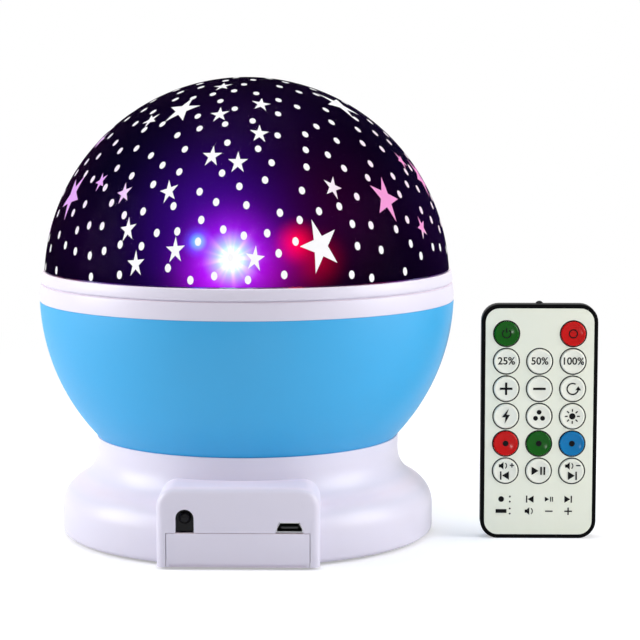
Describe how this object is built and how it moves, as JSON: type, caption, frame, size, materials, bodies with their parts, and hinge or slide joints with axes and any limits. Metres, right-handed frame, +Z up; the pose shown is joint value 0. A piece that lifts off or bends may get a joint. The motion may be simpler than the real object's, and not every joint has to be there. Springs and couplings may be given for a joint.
{
  "type": "star night light projector",
  "caption": "Round bedside star projector with a dark dotted dome that turns on a blue bowl and a flared white base, and a slim button remote beside it.",
  "frame": {"origin": "on the surface it stands on, under the middle of the round base", "axes": "+Z up; the back panel with the receiver window, power socket and battery door faces -Y; the four buttons face +Y; the remote stands at +X with its keys towards -Y"},
  "size_m": [0.1742, 0.13, 0.1436],
  "materials": {
    "white_plastic": "smooth, lightly lavender white",
    "blue_plastic": "smooth satin sky blue",
    "dome_plastic": "clear dark dome with high gloss",
    "star_print": "dark printed film with clear star and dot windows",
    "foot_rubber": "matte soft pad",
    "steel": "plated steel",
    "cell_wrap": "bare shrink wrap",
    "circuit_board": "solder mask",
    "black_plastic": "moulded",
    "gear_plastic": "natural acetal",
    "lamp_lens_white": "clear lamp lens",
    "lamp_lens_red": "red lamp lens",
    "lamp_lens_green": "green lamp lens",
    "lamp_lens_blue": "blue lamp lens",
    "remote_black": "glossy black",
    "remote_cream": "glossy cream white",
    "key_cream": "soft key with a dark ring",
    "key_red": "soft key",
    "key_green": "soft key",
    "key_blue": "soft key"
  },
  "bodies": {
    "projector": {"base_housing": "white_plastic", "base_plate": "white_plastic", "foot_ring": "foot_rubber", "base_screws": "steel", "battery_cells": "cell_wrap", "battery_contacts": "steel", "main_board": "circuit_board", "board_parts": "black_plastic", "usb_socket": "steel", "remote_receiver": "black_plastic", "speaker_frame": "steel", "speaker_cone": "black_plastic", "key_board": "circuit_board", "key_switches": "black_plastic", "bowl_shell": "blue_plastic", "bowl_screws": "steel", "rim_ring": "white_plastic", "deck_plate": "white_plastic", "deck_screws": "steel", "gear_motor": "steel", "reflector": "white_plastic", "lamp_board": "circuit_board", "lamp_white": "lamp_lens_white", "lamp_red": "lamp_lens_red", "lamp_green": "lamp_lens_green", "lamp_blue": "lamp_lens_blue"},
    "turntable": {"turning_band": "white_plastic", "ring_gear": "gear_plastic"},
    "pinion": {"motor_shaft": "steel", "drive_pinion": "gear_plastic"},
    "dome": {"dome_cover": "dome_plastic", "star_film": "star_print"},
    "battery_lid": {"battery_door": "white_plastic"},
    "light_button": {"button_light": "white_plastic"},
    "colour_button": {"button_colour": "white_plastic"},
    "turn_button": {"button_turn": "white_plastic"},
    "timer_button": {"button_timer": "white_plastic"},
    "remote": {"remote_case": "remote_black", "remote_face": "remote_cream", "remote_board": "circuit_board", "remote_emitter": "black_plastic"},
    "cell_tray": {"remote_tray": "remote_black", "remote_coin_cell": "steel"},
    "remote_key_on": {"key_on": "key_green"},
    "remote_key_off": {"key_off": "key_red"},
    "remote_key_dim": {"key_dim": "key_cream"},
    "remote_key_half": {"key_half": "key_cream"},
    "remote_key_full": {"key_full": "key_cream"},
    "remote_key_plus": {"key_plus": "key_cream"},
    "remote_key_minus": {"key_minus": "key_cream"},
    "remote_key_turn": {"key_turn": "key_cream"},
    "remote_key_flash": {"key_flash": "key_cream"},
    "remote_key_rgb": {"key_rgb": "key_cream"},
    "remote_key_white": {"key_white": "key_cream"},
    "remote_key_red": {"key_red": "key_red"},
    "remote_key_green": {"key_green": "key_green"},
    "remote_key_blue": {"key_blue": "key_blue"},
    "remote_key_back": {"key_back": "key_cream"},
    "remote_key_play": {"key_play": "key_cream"},
    "remote_key_next": {"key_next": "key_cream"}
  },
  "joints": [
    {"name": "band_spin", "type": "hinge", "parent": "projector", "child": "turntable", "pos_m": [0, 0, 0.08], "axis": [0, 0, 1], "continuous": true},
    {"name": "pinion_spin", "type": "hinge", "parent": "projector", "child": "pinion", "pos_m": [0, 0.0468, 0.077], "axis": [0, 0, 1], "continuous": true},
    {"name": "dome_lift", "type": "slide", "parent": "turntable", "child": "dome", "axis": [0, 0, 1], "range_m": [0, 0.06]},
    {"name": "door_slide", "type": "slide", "parent": "projector", "child": "battery_lid", "axis": [0, -1, 0], "range_m": [0, 0.06]},
    {"name": "light_press", "type": "slide", "parent": "projector", "child": "light_button", "axis": [0, -1, 0], "range_m": [0, 0.0005], "stiffness_N_per_m": 300, "springref_m": -0.0008},
    {"name": "colour_press", "type": "slide", "parent": "projector", "child": "colour_button", "axis": [0, -1, 0], "range_m": [0, 0.0005], "stiffness_N_per_m": 300, "springref_m": -0.0008},
    {"name": "turn_press", "type": "slide", "parent": "projector", "child": "turn_button", "axis": [0, -1, 0], "range_m": [0, 0.0005], "stiffness_N_per_m": 300, "springref_m": -0.0008},
    {"name": "timer_press", "type": "slide", "parent": "projector", "child": "timer_button", "axis": [0, -1, 0], "range_m": [0, 0.0005], "stiffness_N_per_m": 300, "springref_m": -0.0008},
    {"name": "remote_lift", "type": "slide", "parent": "projector", "child": "remote", "axis": [0, 0, 1], "range_m": [0, 0.12]},
    {"name": "tray_slide", "type": "slide", "parent": "remote", "child": "cell_tray", "axis": [0, 0, -1], "range_m": [0, 0.024]},
    {"name": "key_on_press", "type": "slide", "parent": "remote", "child": "remote_key_on", "axis": [0, 1, 0], "range_m": [0, 0.00035], "stiffness_N_per_m": 300, "springref_m": -0.0008},
    {"name": "key_off_press", "type": "slide", "parent": "remote", "child": "remote_key_off", "axis": [0, 1, 0], "range_m": [0, 0.00035], "stiffness_N_per_m": 300, "springref_m": -0.0008},
    {"name": "key_dim_press", "type": "slide", "parent": "remote", "child": "remote_key_dim", "axis": [0, 1, 0], "range_m": [0, 0.00035], "stiffness_N_per_m": 300, "springref_m": -0.0008},
    {"name": "key_half_press", "type": "slide", "parent": "remote", "child": "remote_key_half", "axis": [0, 1, 0], "range_m": [0, 0.00035], "stiffness_N_per_m": 300, "springref_m": -0.0008},
    {"name": "key_full_press", "type": "slide", "parent": "remote", "child": "remote_key_full", "axis": [0, 1, 0], "range_m": [0, 0.00035], "stiffness_N_per_m": 300, "springref_m": -0.0008},
    {"name": "key_plus_press", "type": "slide", "parent": "remote", "child": "remote_key_plus", "axis": [0, 1, 0], "range_m": [0, 0.00035], "stiffness_N_per_m": 300, "springref_m": -0.0008},
    {"name": "key_minus_press", "type": "slide", "parent": "remote", "child": "remote_key_minus", "axis": [0, 1, 0], "range_m": [0, 0.00035], "stiffness_N_per_m": 300, "springref_m": -0.0008},
    {"name": "key_turn_press", "type": "slide", "parent": "remote", "child": "remote_key_turn", "axis": [0, 1, 0], "range_m": [0, 0.00035], "stiffness_N_per_m": 300, "springref_m": -0.0008},
    {"name": "key_flash_press", "type": "slide", "parent": "remote", "child": "remote_key_flash", "axis": [0, 1, 0], "range_m": [0, 0.00035], "stiffness_N_per_m": 300, "springref_m": -0.0008},
    {"name": "key_rgb_press", "type": "slide", "parent": "remote", "child": "remote_key_rgb", "axis": [0, 1, 0], "range_m": [0, 0.00035], "stiffness_N_per_m": 300, "springref_m": -0.0008},
    {"name": "key_white_press", "type": "slide", "parent": "remote", "child": "remote_key_white", "axis": [0, 1, 0], "range_m": [0, 0.00035], "stiffness_N_per_m": 300, "springref_m": -0.0008},
    {"name": "key_red_press", "type": "slide", "parent": "remote", "child": "remote_key_red", "axis": [0, 1, 0], "range_m": [0, 0.00035], "stiffness_N_per_m": 300, "springref_m": -0.0008},
    {"name": "key_green_press", "type": "slide", "parent": "remote", "child": "remote_key_green", "axis": [0, 1, 0], "range_m": [0, 0.00035], "stiffness_N_per_m": 300, "springref_m": -0.0008},
    {"name": "key_blue_press", "type": "slide", "parent": "remote", "child": "remote_key_blue", "axis": [0, 1, 0], "range_m": [0, 0.00035], "stiffness_N_per_m": 300, "springref_m": -0.0008},
    {"name": "key_back_press", "type": "slide", "parent": "remote", "child": "remote_key_back", "axis": [0, 1, 0], "range_m": [0, 0.00035], "stiffness_N_per_m": 300, "springref_m": -0.0008},
    {"name": "key_play_press", "type": "slide", "parent": "remote", "child": "remote_key_play", "axis": [0, 1, 0], "range_m": [0, 0.00035], "stiffness_N_per_m": 300, "springref_m": -0.0008},
    {"name": "key_next_press", "type": "slide", "parent": "remote", "child": "remote_key_next", "axis": [0, 1, 0], "range_m": [0, 0.00035], "stiffness_N_per_m": 300, "springref_m": -0.0008}
  ],
  "couplings": [
    {"joint": "pinion_spin", "follows": "band_spin", "ratio": 7.5}
  ]
}
